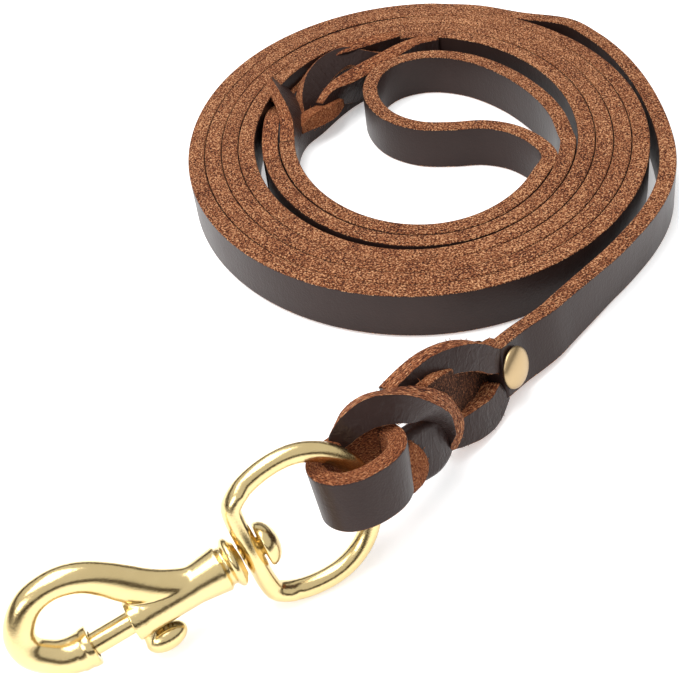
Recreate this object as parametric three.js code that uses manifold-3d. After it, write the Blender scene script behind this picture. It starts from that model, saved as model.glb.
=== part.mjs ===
// A leather training lead wound into a flat coil, with its swivel bolt snap. Millimetres, +Z up.
// One strap makes the whole lead: snap loop, braid, four turns, second braid and hand loop.
// It stands on its edge, so its width runs up and its turns lie face to face.
import * as THREE from 'three';
import { mergeVertices } from 'three/addons/utils/BufferGeometryUtils.js';
import Module from 'manifold-3d';

const wasm = await Module();
wasm.setup();

// ---------------------------------------------------------------- driving dimensions
const STRAP_WIDTH = 12.7;
const STRAP_THICKNESS = 4.5;
const LAYER_GAP = 0.35; // between turns that lie face to face
const JOIN_GAP = 0.3; // between two sections of the one strap

const COIL_CENTRE = [-1.7, -12]; // in plan, from the lead's own zero
const COIL_HALF_LENGTH = 80.6; // to the outer face, along Y
const COIL_HALF_WIDTH = 68.2; // to the outer face, along X
const COIL_TURNS = 4;
const COIL_START = 75; // degrees round the coil where the outermost turn begins

// The routes and the snap loop are drawn for these sizes, and stretch with them.
const DRAWN_STRAP_WIDTH = 12.7;
const DRAWN_HALF_LENGTH = 80.6;
const DRAWN_HALF_WIDTH = 68.2;
const STRAP_RATIO = STRAP_WIDTH / DRAWN_STRAP_WIDTH;

const RIVET_SHANK_RADIUS = 2.0;
const RIVET_CAP_RADIUS = 5.0;
const RIVET_CAP_HEIGHT = 2.0;
const RIVET_CLEARANCE = 0.3;
const BRAID_SLIT = 1.0;
const SNAP_LOOP_HALF_LENGTH = 10.3 * STRAP_RATIO; // to the outer face, along the braid
const SNAP_LOOP_HALF_DEPTH = 8.3 * STRAP_RATIO; // to the outer face, front to back
const SNAP_LOOP_THICKNESS = 3.5; // the strap is skived thinner where it bends round the eye

const EYE_WIRE_RADIUS = 2.1;
const EYE_HALF_WIDTH = 14.25; // to the middle of the wire
const EYE_LENGTH = 26.2; // base bar to far end, middle of the wire
const EYE_SHOULDER = 12; // where the sides of the eye are widest
const EYE_BAR_HALF = 8.5; // straight part of the base bar

const PIN_SHANK_RADIUS = 2.0;
const PIN_HEAD_RADIUS = 4.7;
const PIN_HEAD_HEIGHT = 3.6;
const PIN_CLEARANCE = 0.3;
const EYE_BOSS_RADIUS = 4.4;

const COLLAR_RADIUS = 5.3;
const COLLAR_LENGTH = 2.6;
const BOLT_RADIUS = 2.3;
const BOLT_CLEARANCE = 0.4;
const BORE_RADIUS = BOLT_RADIUS + BOLT_CLEARANCE;
const BARREL_WALL = 1.2;
const BARREL_RADIUS = BORE_RADIUS + BARREL_WALL;
const BARREL_LENGTH = 21.2;
const BORE_END_WALL = 1.9; // metal left between the bore and the collar
const HOOK_THICKNESS = 6.0;
const HOOK_OPENING = 8.0; // from the barrel's mouth to the socket
const SOCKET_DEPTH = 2.0;
const SOCKET_LENGTH = 4.6;
const SOCKET_RADIUS = 4.1;
const BOLT_TRAVEL = 10;
const SLOT_WIDTH = 3.2;
const STEM_WIDTH = 2.4;
const KNOB_HALF_LENGTH = 4.3;
const KNOB_HALF_HEIGHT = 2.6;
const KNOB_DROP = BARREL_RADIUS + KNOB_HALF_HEIGHT + JOIN_GAP; // bolt axis to the knob's middle
const SPRING_WIRE_RADIUS = 0.3;
const SPRING_COILS = 8;

// Where the assemblies lie: origin, heading, nose-up angle, lean back (degrees).
const COIL_FRONT = COIL_CENTRE[1] - COIL_HALF_LENGTH; // the coil's nearest edge, in Y
const EDGE_UP = STRAP_WIDTH / 2; // middle of a strap that stands on its edge on the ground
const BRAID_PLACE = {
  origin: [3.65, COIL_FRONT - 19.6, EDGE_UP + 2.25], heading: 227.1, rise: 10.8, lean: 14,
};
const LOOP_PLACE = {
  origin: [-33.1, COIL_FRONT - 57.55, EDGE_UP + 12.5], heading: 212.8, rise: 1.6, lean: 10.5,
};
const SNAP_PLACE = {
  origin: [-55.4, COIL_FRONT - 67.1, EDGE_UP + 7.35], heading: 201.3, rise: -9.2, lean: 20,
};

// ---------------------------------------------------------------- finishes
const LEATHER = { color: 0x4a382f, roughness: 0.6, metalness: 0.0 };
const BRASS = { color: 0xd8c07a, roughness: 0.25, metalness: 1.0 };
const ANTIQUE_BRASS = { color: 0xc2b183, roughness: 0.35, metalness: 1.0 };
const SPRING_STEEL = { color: 0xb8bbbd, roughness: 0.3, metalness: 1.0 };

// ---------------------------------------------------------------- helpers
const part = new THREE.Group();
const vec = (values) => new THREE.Vector3(...values);
const radians = THREE.MathUtils.degToRad;
const UP = new THREE.Vector3(0, 0, 1);

function addMesh(group, name, geometry, finish) {
  const mesh = new THREE.Mesh(geometry, new THREE.MeshStandardMaterial(finish));
  mesh.name = name;
  group.add(mesh);
}

// A group whose X runs along the piece, Y towards the viewer's side and Z up across it.
function placedGroup({ origin, heading, rise, lean }) {
  const level = new THREE.Vector3(Math.cos(radians(heading)), Math.sin(radians(heading)), 0);
  const along = level.clone().multiplyScalar(Math.cos(radians(rise)));
  along.addScaledVector(UP, Math.sin(radians(rise)));
  const side = new THREE.Vector3().crossVectors(UP, level);
  const upright = new THREE.Vector3().crossVectors(along, side);
  const across = upright.clone().multiplyScalar(Math.cos(radians(lean)));
  across.addScaledVector(side, -Math.sin(radians(lean)));
  const front = new THREE.Vector3().crossVectors(across, along);
  const group = new THREE.Group();
  group.matrixAutoUpdate = false;
  group.matrix.makeBasis(along, front, across).setPosition(vec(origin));
  part.add(group);
  return group;
}

function toSolid(geometry) {
  const bare = geometry.clone();
  bare.deleteAttribute('normal');
  bare.deleteAttribute('uv');
  const merged = mergeVertices(bare, 1e-4);
  return new wasm.Manifold(new wasm.Mesh({
    numProp: 3,
    vertProperties: new Float32Array(merged.attributes.position.array),
    triVerts: new Uint32Array(merged.index.array),
  }));
}

function fromSolid(solid) {
  const mesh = solid.getMesh();
  const geometry = new THREE.BufferGeometry();
  geometry.setAttribute('position', new THREE.BufferAttribute(mesh.vertProperties, 3));
  geometry.setIndex(new THREE.BufferAttribute(mesh.triVerts, 1));
  const flat = geometry.toNonIndexed();
  flat.computeVertexNormals();
  return flat;
}

const join = (...shapes) => fromSolid(shapes.map(toSolid).reduce((sum, next) => sum.add(next)));
const cut = (shape, ...tools) => fromSolid(
  tools.map(toSolid).reduce((left, tool) => left.subtract(tool), toSolid(shape)));

// A route whose flat section follows a stated width direction at every point.
class StrapRoute extends THREE.CatmullRomCurve3 {
  constructor(points, widthDirections) {
    super(points, false, 'centripetal');
    this.widths = new THREE.CatmullRomCurve3(widthDirections, false, 'centripetal');
    this.fixedWidth = widthDirections.every((width) => width.equals(widthDirections[0]))
      ? widthDirections[0] : null;
  }

  computeFrenetFrames(segments) {
    const frames = { tangents: [], normals: [], binormals: [] };
    for (let step = 0; step <= segments; step += 1) {
      const along = step / segments;
      const tangent = this.getTangentAt(along);
      const width = this.fixedWidth
        ? this.fixedWidth.clone() : this.widths.getPoint(this.getUtoTmapping(along));
      width.addScaledVector(tangent, -width.dot(tangent)).normalize();
      frames.tangents.push(tangent);
      frames.normals.push(width);
      frames.binormals.push(new THREE.Vector3().crossVectors(tangent, width));
    }
    return frames;
  }
}

function strapSection(width, thickness) {
  const shape = new THREE.Shape();
  shape.moveTo(-width / 2, -thickness / 2);
  shape.lineTo(width / 2, -thickness / 2);
  shape.lineTo(width / 2, thickness / 2);
  shape.lineTo(-width / 2, thickness / 2);
  shape.closePath();
  return shape;
}

function strap(points, widthDirections, steps, width = STRAP_WIDTH, thickness = STRAP_THICKNESS) {
  const route = new StrapRoute(points, widthDirections);
  const section = strapSection(width, thickness);
  return new THREE.ExtrudeGeometry(section, { steps, extrudePath: route, bevelEnabled: false });
}

const uprightStrap = (points, steps) => strap(points, points.map(() => UP.clone()), steps);

// ---------------------------------------------------------------- the coil
const LAYER_PITCH = STRAP_THICKNESS + LAYER_GAP;
const STEP = 2; // degrees between points of a turn

// Middle of the strap at an angle round the coil; every full turn lies one layer further in.
function coilPoint(degrees, extraLayers = 0) {
  const angle = radians(degrees);
  const outer = new THREE.Vector3(
    COIL_HALF_WIDTH * Math.cos(angle), COIL_HALF_LENGTH * Math.sin(angle), 0);
  const outward = new THREE.Vector3(
    Math.cos(angle) / COIL_HALF_WIDTH, Math.sin(angle) / COIL_HALF_LENGTH, 0).normalize();
  const inset = STRAP_THICKNESS / 2 + LAYER_PITCH * (degrees / 360 + extraLayers);
  return outer.addScaledVector(outward, -inset)
    .add(new THREE.Vector3(COIL_CENTRE[0], COIL_CENTRE[1], EDGE_UP));
}

function coilRun(from, to, extraLayers = 0) {
  const count = Math.round((to - from) / STEP);
  const points = [];
  for (let index = 0; index <= count; index += 1) {
    points.push(coilPoint(from + (to - from) * index / count, extraLayers));
  }
  return points;
}

// Middle of an upright strap at a drawn point in plan, with its lift off the ground.
function planPoint([x, y, lift = 0]) {
  const across = (x - COIL_CENTRE[0]) * COIL_HALF_WIDTH / DRAWN_HALF_WIDTH;
  const along = (y - COIL_CENTRE[1]) * COIL_HALF_LENGTH / DRAWN_HALF_LENGTH;
  return new THREE.Vector3(COIL_CENTRE[0] + across, COIL_CENTRE[1] + along, EDGE_UP + lift);
}

// Angle that a length of strap takes up at the coil's surface.
const gapAngle = (length) => THREE.MathUtils.radToDeg(length / COIL_HALF_WIDTH);

function buildCoil() {
  for (let turn = 0; turn < COIL_TURNS; turn += 1) {
    const from = COIL_START + 360 * turn + gapAngle(JOIN_GAP);
    const points = coilRun(from, COIL_START + 360 * (turn + 1));
    addMesh(part, `coil_turn_${turn + 1}`, uprightStrap(points, 60), LEATHER);
  }
}

// ---------------------------------------------------------------- the hand loop and its braid
const BRAID_START = COIL_START + 360 * COIL_TURNS + 12; // degrees round the coil
const BRAID_SPAN = 88;
const BRAID_END = BRAID_START + BRAID_SPAN;
const LEG_START = BRAID_END + 1;
const OUTER_LEG_END = 360 * (COIL_TURNS + 1) - 17; // where the hand loop leaves the coil
const INNER_LEG_END = OUTER_LEG_END - 18;
const LEG_WIDTH = (STRAP_WIDTH - BRAID_SLIT) / 2;

// Free part of the hand loop, in plan: up the right side, round its end and back in an S-bend.
const HAND_LOOP_BOW = [
  [38.0, -27], [38.0, -14], [35.2, -1], [29.0, 13], [20.0, 24.5], [9.5, 30.6], [-0.5, 30.4],
  [-8.0, 25.2], [-11.8, 16.5], [-11.8, 6.5], [-8.2, -3.2], [-1.0, -10.2], [8.0, -13.2],
  [17.0, -14.8], [24.5, -19.6], [29.6, -27.5], [31.4, -35.5],
];

function buildHandLoop() {
  const outerLeg = coilRun(LEG_START, OUTER_LEG_END);
  const innerLeg = coilRun(LEG_START, INNER_LEG_END, 1).reverse();
  const bow = HAND_LOOP_BOW.map(planPoint);
  addMesh(part, 'hand_loop', uprightStrap([...outerLeg, ...bow, ...innerLeg], 130), LEATHER);
}

// The braid lies against the coil as two layers, each slit into an upper and a lower strand.
function buildHandBraid() {
  addMesh(part, 'coil_inner_run', uprightStrap(
    coilRun(COIL_START + 360 * COIL_TURNS + gapAngle(JOIN_GAP), BRAID_START - gapAngle(JOIN_GAP)),
    4), LEATHER);
  const strandRise = (LEG_WIDTH + BRAID_SLIT) / 2;
  for (const [layer, layerName] of ['outer', 'inner'].entries()) {
    for (const [side, sideName] of [[1, 'upper'], [-1, 'lower']]) {
      const points = coilRun(BRAID_START, BRAID_END, layer)
        .map((point) => point.addScaledVector(UP, side * strandRise));
      const solid = strap(points, points.map(() => UP.clone()), 14, LEG_WIDTH);
      addMesh(part, `hand_braid_${layerName}_${sideName}_strand`, solid, LEATHER);
    }
  }
}

// The strap's free end comes out of the braid and lies inside the first turn.
function buildTail() {
  const from = COIL_START + 360 * COIL_TURNS - 2;
  const points = coilRun(from, BRAID_START - 2, 1);
  addMesh(part, 'strap_tail', uprightStrap(points, 4), LEATHER);
}

// ---------------------------------------------------------------- the run to the snap
// In plan, from the rivet to where the strap joins the coil, with its lift off the ground.
const LEAD_ROUTE = [
  [16, -101.4, 0.6], [21, -96.5, 0.4], [30.5, -87.4, 0.2], [40.5, -77.6], [50, -66.8],
  [57, -55.5], [61.5, -43], [64.0, -29], [65.0, -14], [64.6, 1], [62.6, 15], [59, 27.5],
  [53.2, 39],
];

const UNTWIST_POINTS = 5; // route points over which the leaning strap comes upright

function buildLead(braid) {
  const flat = [RIVET_CAP_RADIUS - 1, 0, -RIVET_CAP_RADIUS - 1]
    .map((along) => new THREE.Vector3(along, 0, 0).applyMatrix4(braid.matrix));
  const leaning = new THREE.Vector3(0, 0, 1).transformDirection(braid.matrix);
  const onCoil = coilRun(50, COIL_START);
  const plan = LEAD_ROUTE.map(planPoint);
  const points = [...flat, ...plan, ...onCoil];
  const widths = points.map((point, index) =>
    leaning.clone().lerp(UP, THREE.MathUtils.clamp((index - 2) / UNTWIST_POINTS, 0, 1)));
  const solid = cut(strap(points, widths, 56), rivetHole(RIVET_CLEARANCE).applyMatrix4(braid.matrix));
  addMesh(part, 'lead_strap', solid, LEATHER);
}

// ---------------------------------------------------------------- rivet
const STACK_BACK = -STRAP_THICKNESS * 1.5 - LAYER_GAP; // back of the two leathers under the cap

const rivetHole = (clearance) => new THREE.CylinderGeometry(
  RIVET_SHANK_RADIUS + clearance, RIVET_SHANK_RADIUS + clearance, STRAP_THICKNESS * 6, 16);

function cap(radius, height, base) {
  const points = [new THREE.Vector2(0, base)];
  for (let step = 0; step <= 6; step += 1) {
    const angle = Math.PI / 2 * step / 6;
    points.push(new THREE.Vector2(radius * Math.cos(angle), base + height * Math.sin(angle)));
  }
  points[points.length - 1].x = 0;
  return new THREE.LatheGeometry(points, 24);
}

function buildRivet(braid) {
  const front = STRAP_THICKNESS / 2 + JOIN_GAP;
  addMesh(braid, 'rivet_cap', cap(RIVET_CAP_RADIUS, RIVET_CAP_HEIGHT, front), ANTIQUE_BRASS);
  const shankBack = STACK_BACK - JOIN_GAP - RIVET_CAP_HEIGHT / 2;
  const shankLength = front - JOIN_GAP - shankBack;
  const shank = new THREE.CylinderGeometry(
    RIVET_SHANK_RADIUS, RIVET_SHANK_RADIUS, shankLength, 16);
  shank.translate(0, shankBack + shankLength / 2, 0);
  addMesh(braid, 'rivet_shank', shank, ANTIQUE_BRASS);
  const base = cap(RIVET_CAP_RADIUS, RIVET_CAP_HEIGHT, 0);
  base.rotateX(Math.PI);
  base.translate(0, STACK_BACK - JOIN_GAP, 0);
  addMesh(braid, 'rivet_burr', cut(base, rivetHole(RIVET_CLEARANCE)), ANTIQUE_BRASS);
}

// ---------------------------------------------------------------- the braid behind the snap
// Routes in the braid's own frame: along it, towards the front, across it.
const UPPER_LEG = [[9.5, 0, 7.6], [14, 0, 11], [20, -0.5, 12.3], [26, -1.5, 12], [31, -2.5, 10.5]];
const LOWER_LEG = [[10, 0, -4.6], [17, 0, -5.4], [23.5, 0, -5]];
const LOWER_STRAND = [[24.6, -0.2, -5], [30, -1, -5.2], [37, -1, -5], [43, 0, -4]];
const CROSSING_STRAND = [
  [51, -3.6, 11.0], [46.5, -1.4, 11.2], [41.5, 1.6, 10.4], [35, 5, 6.5], [30, 5.6, 1.5], [27, 5.4, -4],
];
const FLESH_STRAND = [
  [-4.5, 0, 1.4], [0, 0, 1.4], [4, 0, 1.4], [10, 0, 1.6], [16, 0, 2.4], [21, 0, 2.8],
];
const LEG_RISE = (DRAWN_STRAP_WIDTH + BRAID_SLIT) / 4; // middle of a leg, where the slit starts
const LOOP_OPENING = 38; // half the angle left open where the braid grips the snap loop

// A drawn point of the braid; its place across the braid goes with the strap's width.
const braidPoint = ([along, front, across]) =>
  new THREE.Vector3(along, front, across * STRAP_RATIO);

function braidStrand(group, name, points, width) {
  const route = points.map(braidPoint);
  const across = route.map(() => new THREE.Vector3(0, 0, 1));
  addMesh(group, name, strap(route, across, 2 * points.length + 2, width), LEATHER);
}

function buildSnapBraid(braid) {
  const start = RIVET_CAP_RADIUS - 1 + JOIN_GAP;
  const fromRivet = (side) => [[start, 0, side * LEG_RISE], [start + 2, 0, side * LEG_RISE]];
  braidStrand(braid, 'snap_braid_upper_leg', [...fromRivet(1), ...UPPER_LEG], LEG_WIDTH);
  braidStrand(braid, 'snap_braid_lower_leg', [...fromRivet(-1), ...LOWER_LEG], LEG_WIDTH);
  braidStrand(braid, 'snap_braid_lower_strand', LOWER_STRAND, LEG_WIDTH);
  braidStrand(braid, 'snap_braid_crossing_strand', CROSSING_STRAND, LEG_WIDTH);
}

// The strap's other end lies behind the lead under the rivet and runs into the braid.
function buildRivetedEnd(braid) {
  const behind = new THREE.Vector3(0, -STRAP_THICKNESS - LAYER_GAP, 0);
  const route = FLESH_STRAND.map((point) => braidPoint(point).add(behind));
  const local = strap(route, route.map(() => new THREE.Vector3(0, 0, 1)), 10, STRAP_WIDTH - 1);
  addMesh(braid, 'riveted_strap_end', cut(local, rivetHole(RIVET_CLEARANCE)), LEATHER);
}

function buildSnapLoop(loop) {
  const points = [];
  const steps = 20;
  for (let step = 0; step <= steps; step += 1) {
    const angle = radians(180 + LOOP_OPENING + (360 - 2 * LOOP_OPENING) * step / steps);
    points.push(new THREE.Vector3(
      (SNAP_LOOP_HALF_LENGTH - SNAP_LOOP_THICKNESS / 2) * Math.cos(angle),
      (SNAP_LOOP_HALF_DEPTH - SNAP_LOOP_THICKNESS / 2) * Math.sin(angle), 0));
  }
  const across = points.map(() => new THREE.Vector3(0, 0, 1));
  const solid = strap(points, across, 24, STRAP_WIDTH, SNAP_LOOP_THICKNESS);
  addMesh(loop, 'snap_loop', solid, LEATHER);
}

// ---------------------------------------------------------------- the swivel eye
// One bent wire with a straight base bar; both ends meet inside the boss that the pin crosses.
function eyeRoute() {
  const corner = [];
  const cornerSteps = 5;
  for (let step = 1; step <= cornerSteps; step += 1) {
    const angle = Math.PI / 2 * step / cornerSteps;
    corner.push([-EYE_SHOULDER * (1 - Math.cos(angle)),
      EYE_BAR_HALF + (EYE_HALF_WIDTH - EYE_BAR_HALF) * Math.sin(angle)]);
  }
  const farEnd = [];
  const farSteps = 16;
  for (let step = 1; step < farSteps; step += 1) {
    const angle = Math.PI * step / farSteps;
    farEnd.push([-EYE_SHOULDER - (EYE_LENGTH - EYE_SHOULDER) * Math.sin(angle),
      EYE_HALF_WIDTH * Math.cos(angle)]);
  }
  const half = [[0, 1], [0, EYE_BAR_HALF / 2], [0, EYE_BAR_HALF], ...corner];
  const mirrored = half.map(([along, across]) => [along, -across]).reverse();
  return [...half, ...farEnd, ...mirrored].map(([along, across]) => vec([along, 0, across]));
}

function roundSection(radius, sides) {
  const shape = new THREE.Shape();
  shape.absarc(0, 0, radius, 0, Math.PI * 2, false);
  return { shape, curveSegments: sides };
}

function alongX(geometry, from, to) {
  geometry.rotateZ(-Math.PI / 2);
  geometry.translate((from + to) / 2, 0, 0);
  return geometry;
}

const rodAlongX = (radius, from, to, sides = 24) =>
  alongX(new THREE.CylinderGeometry(radius, radius, to - from, sides), from, to);

function buildEye(snap) {
  const boss = rodAlongX(EYE_BOSS_RADIUS, -EYE_WIRE_RADIUS, EYE_WIRE_RADIUS);
  const points = eyeRoute();
  const route = new StrapRoute(points, points.map(() => new THREE.Vector3(0, 1, 0)));
  const { shape, curveSegments } = roundSection(EYE_WIRE_RADIUS, 7);
  const wire = new THREE.ExtrudeGeometry(
    shape, { steps: 56, curveSegments, extrudePath: route, bevelEnabled: false });
  const pinHole = rodAlongX(
    PIN_SHANK_RADIUS + PIN_CLEARANCE, -2 * EYE_WIRE_RADIUS, 2 * EYE_WIRE_RADIUS);
  addMesh(snap, 'swivel_eye', cut(join(wire, boss), pinHole), BRASS);
}

// ---------------------------------------------------------------- the bolt snap
const COLLAR_START = EYE_WIRE_RADIUS + PIN_CLEARANCE;
const BARREL_START = COLLAR_START + COLLAR_LENGTH;
const MOUTH = BARREL_START + BARREL_LENGTH;
const BORE_START = BARREL_START + BORE_END_WALL;
const SOCKET_START = MOUTH + HOOK_OPENING;
const BOLT_TIP = SOCKET_START + SOCKET_DEPTH - PIN_CLEARANCE;
const STEM_MIDDLE = MOUTH - STEM_WIDTH / 2 - 0.6;
const BOLT_TAIL = STEM_MIDDLE - STEM_WIDTH;
const SLOT_START = STEM_MIDDLE - BOLT_TRAVEL - SLOT_WIDTH / 2 - PIN_CLEARANCE;
const HOOK_INNER_HEIGHT = 12.6; // above the bolt's axis
const HOOK_OUTER_HEIGHT = 18.2;
const HOOK_REACH = 13.4; // from the socket's lip to the hook's furthest point

// Side outline of the hook and its web, above the barrel's axis.
function hookOutline() {
  const tip = SOCKET_START + HOOK_REACH;
  const shape = new THREE.Shape();
  shape.moveTo(BARREL_START + 4, 0);
  shape.lineTo(BARREL_START + 4, BARREL_RADIUS * 0.9);
  shape.bezierCurveTo(MOUTH - 12, BARREL_RADIUS + 0.4, MOUTH - 8, 6, MOUTH - 4.5, 10.2);
  shape.bezierCurveTo(MOUTH - 1, 14.4, MOUTH + 3, HOOK_OUTER_HEIGHT, MOUTH + 9.5, HOOK_OUTER_HEIGHT);
  shape.bezierCurveTo(tip - 5, HOOK_OUTER_HEIGHT, tip, 12.5, tip, 7.5);
  shape.bezierCurveTo(tip, 2.5, tip - 6, -1.2, SOCKET_START + SOCKET_LENGTH - 2, -SOCKET_RADIUS * 0.8);
  shape.lineTo(SOCKET_START + SOCKET_LENGTH - 2.4, 0);
  shape.lineTo(SOCKET_START + 1.2, 3.6);
  shape.bezierCurveTo(tip - 8, 4.6, tip - 5.8, 5.4, tip - 5.8, 8);
  shape.bezierCurveTo(tip - 5.8, 11, tip - 9, HOOK_INNER_HEIGHT, MOUTH + 9.5, HOOK_INNER_HEIGHT);
  shape.bezierCurveTo(MOUTH + 4, HOOK_INNER_HEIGHT, MOUTH + 0.2, 9, MOUTH - 0.2, BARREL_RADIUS);
  shape.lineTo(MOUTH - 0.2, 0);
  shape.closePath();
  return shape;
}

function buildSnapBody(snap) {
  const bevel = 1.6;
  const plate = new THREE.ExtrudeGeometry(hookOutline(), {
    depth: HOOK_THICKNESS - 2 * bevel,
    bevelEnabled: true,
    bevelThickness: bevel,
    bevelSize: bevel * 0.7,
    bevelOffset: -bevel * 0.7,
    bevelSegments: 2,
    curveSegments: 8,
  });
  plate.rotateX(Math.PI / 2);
  plate.translate(0, HOOK_THICKNESS / 2 - bevel, 0);
  const collar = rodAlongX(COLLAR_RADIUS, COLLAR_START, BARREL_START);
  const barrel = rodAlongX(BARREL_RADIUS, COLLAR_START, MOUTH);
  const socket = rodAlongX(SOCKET_RADIUS, SOCKET_START, SOCKET_START + SOCKET_LENGTH);
  const bore = rodAlongX(BORE_RADIUS, BORE_START, SOCKET_START + SOCKET_DEPTH);
  const slot = new THREE.BoxGeometry(MOUTH + 1 - SLOT_START, SLOT_WIDTH, BARREL_RADIUS * 2);
  slot.translate((MOUTH + 1 + SLOT_START) / 2, 0, -BARREL_RADIUS);
  addMesh(snap, 'snap_body', cut(join(plate, collar, barrel, socket), bore, slot), BRASS);
}

// Riveted through the eye's base bar: the shank is one with the body, the head holds the eye.
function buildSwivelPin(snap) {
  const shankEnd = COLLAR_START - PIN_CLEARANCE;
  const shank = rodAlongX(PIN_SHANK_RADIUS, -EYE_WIRE_RADIUS - PIN_CLEARANCE - 1, shankEnd, 20);
  const head = cap(PIN_HEAD_RADIUS, PIN_HEAD_HEIGHT, 0);
  head.rotateZ(Math.PI / 2);
  head.translate(-EYE_WIRE_RADIUS - PIN_CLEARANCE, 0, 0);
  addMesh(snap, 'swivel_pin', join(shank, head), BRASS);
}

function buildBolt(snap) {
  addMesh(snap, 'bolt', rodAlongX(BOLT_RADIUS, BOLT_TAIL, BOLT_TIP), BRASS);
  const stemLength = KNOB_DROP - BOLT_RADIUS - JOIN_GAP;
  const stem = new THREE.CylinderGeometry(STEM_WIDTH / 2, STEM_WIDTH / 2, stemLength, 16);
  stem.rotateX(Math.PI / 2);
  stem.translate(STEM_MIDDLE, 0, -BOLT_RADIUS - JOIN_GAP - stemLength / 2);
  const knob = new THREE.SphereGeometry(1, 20, 14);
  knob.scale(KNOB_HALF_LENGTH, KNOB_HALF_HEIGHT, KNOB_HALF_HEIGHT);
  knob.translate(STEM_MIDDLE - KNOB_HALF_LENGTH + STEM_WIDTH / 2 + 0.6, 0, -KNOB_DROP);
  addMesh(snap, 'thumb_knob', join(stem, knob), BRASS);
}

class Helix extends THREE.Curve {
  constructor(radius, from, to, coils) {
    super();
    Object.assign(this, { radius, from, to, coils });
  }

  getPoint(t, target = new THREE.Vector3()) {
    const angle = 2 * Math.PI * this.coils * t;
    return target.set(this.from + (this.to - this.from) * t,
      this.radius * Math.cos(angle), this.radius * Math.sin(angle));
  }
}

function buildSpring(snap) {
  const radius = BORE_RADIUS - SPRING_WIRE_RADIUS - BOLT_CLEARANCE;
  const path = new Helix(radius, BORE_START + JOIN_GAP + SPRING_WIRE_RADIUS,
    BOLT_TAIL - JOIN_GAP - SPRING_WIRE_RADIUS, SPRING_COILS);
  const { shape, curveSegments } = roundSection(SPRING_WIRE_RADIUS, 3);
  const wire = new THREE.ExtrudeGeometry(
    shape, { steps: SPRING_COILS * 10, curveSegments, extrudePath: path, bevelEnabled: false });
  addMesh(snap, 'bolt_spring', wire, SPRING_STEEL);
}

// ---------------------------------------------------------------- assembly
const braid = placedGroup(BRAID_PLACE);
const snap = placedGroup(SNAP_PLACE);

buildCoil();
buildHandBraid();
buildTail();
buildHandLoop();
buildLead(braid);
buildRivet(braid);
buildRivetedEnd(braid);
buildSnapBraid(braid);
buildSnapLoop(placedGroup(LOOP_PLACE));
buildEye(snap);
buildSnapBody(snap);
buildSwivelPin(snap);
buildBolt(snap);
buildSpring(snap);

// Put the zero at the middle of the ground under the whole lead.
part.updateMatrixWorld(true);
const box = new THREE.Box3().setFromObject(part, true);
part.position.set(-(box.min.x + box.max.x) / 2, -(box.min.y + box.max.y) / 2, -box.min.z);

export default part;
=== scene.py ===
import bisect
import math
import random

import bmesh
import bpy
from mathutils import Matrix, Vector, noise


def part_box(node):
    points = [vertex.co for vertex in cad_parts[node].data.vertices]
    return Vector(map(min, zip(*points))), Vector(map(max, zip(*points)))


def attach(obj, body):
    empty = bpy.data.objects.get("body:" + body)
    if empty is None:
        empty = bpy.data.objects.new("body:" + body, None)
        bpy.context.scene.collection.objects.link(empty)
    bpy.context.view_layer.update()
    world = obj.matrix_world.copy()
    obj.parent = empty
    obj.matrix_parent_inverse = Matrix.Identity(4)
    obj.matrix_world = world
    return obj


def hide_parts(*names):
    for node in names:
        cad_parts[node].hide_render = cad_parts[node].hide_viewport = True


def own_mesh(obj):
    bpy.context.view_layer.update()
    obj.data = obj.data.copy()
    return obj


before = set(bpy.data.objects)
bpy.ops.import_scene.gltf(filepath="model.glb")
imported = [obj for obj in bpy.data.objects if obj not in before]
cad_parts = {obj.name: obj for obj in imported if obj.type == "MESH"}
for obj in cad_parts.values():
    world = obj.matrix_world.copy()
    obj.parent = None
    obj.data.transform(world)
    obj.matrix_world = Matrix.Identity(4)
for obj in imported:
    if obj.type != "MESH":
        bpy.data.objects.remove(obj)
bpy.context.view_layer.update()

MM = 0.001

# ------------------------------------------------------------------ sizes, in millimetres
STRAP_WIDTH = 12.7
STRAP_THICKNESS = 4.5
LAYER_PITCH = 4.85
COIL_CENTRE = (-1.7, -12.0)
COIL_HALF_LENGTH = 80.6
COIL_HALF_WIDTH = 68.2
COIL_START = 75
COIL_TURNS = 4
STRAP_STEP = 1.5
ROUTE_STEP = 1.2
MIDDLE = STRAP_WIDTH / 2
BRAID_START = COIL_START + 360 * COIL_TURNS + 12
BRAID_END = BRAID_START + 88
UP = Vector((0, 0, 1))

# Each assembly's place: origin, heading, rise and lean in degrees.
BRAID_PLACE = ((3.65, -112.2, 8.6), 227.1, 10.8, 14)
LOOP_PLACE = ((-33.1, -150.15, 18.85), 212.8, 1.6, 10.5)
SNAP_PLACE = ((-55.4, -159.7, 13.7), 201.3, -9.2, 20)


def axes_at(place, x_axis, y_axis, z_axis):
    """A matrix that puts the three axes at a place."""
    return Matrix.Translation(place) @ Matrix((x_axis, y_axis, z_axis)).transposed().to_4x4()


def assembly(place):
    """X along the piece, Y to its front and Z up across it."""
    origin, heading, rise, lean = place
    heading, rise, lean = math.radians(heading), math.radians(rise), math.radians(lean)
    level = Vector((math.cos(heading), math.sin(heading), 0))
    along = level * math.cos(rise) + UP * math.sin(rise)
    side = UP.cross(level)
    across = along.cross(side) * math.cos(lean) - side * math.sin(lean)
    front = across.cross(along)
    return axes_at(Vector(origin), along, front, across)


BRAID = assembly(BRAID_PLACE)
LOOP = assembly(LOOP_PLACE)
SNAP = assembly(SNAP_PLACE)


def outward_of_coil(angle):
    return Vector((math.cos(angle) / COIL_HALF_WIDTH, math.sin(angle) / COIL_HALF_LENGTH, 0)).normalized()


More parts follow.
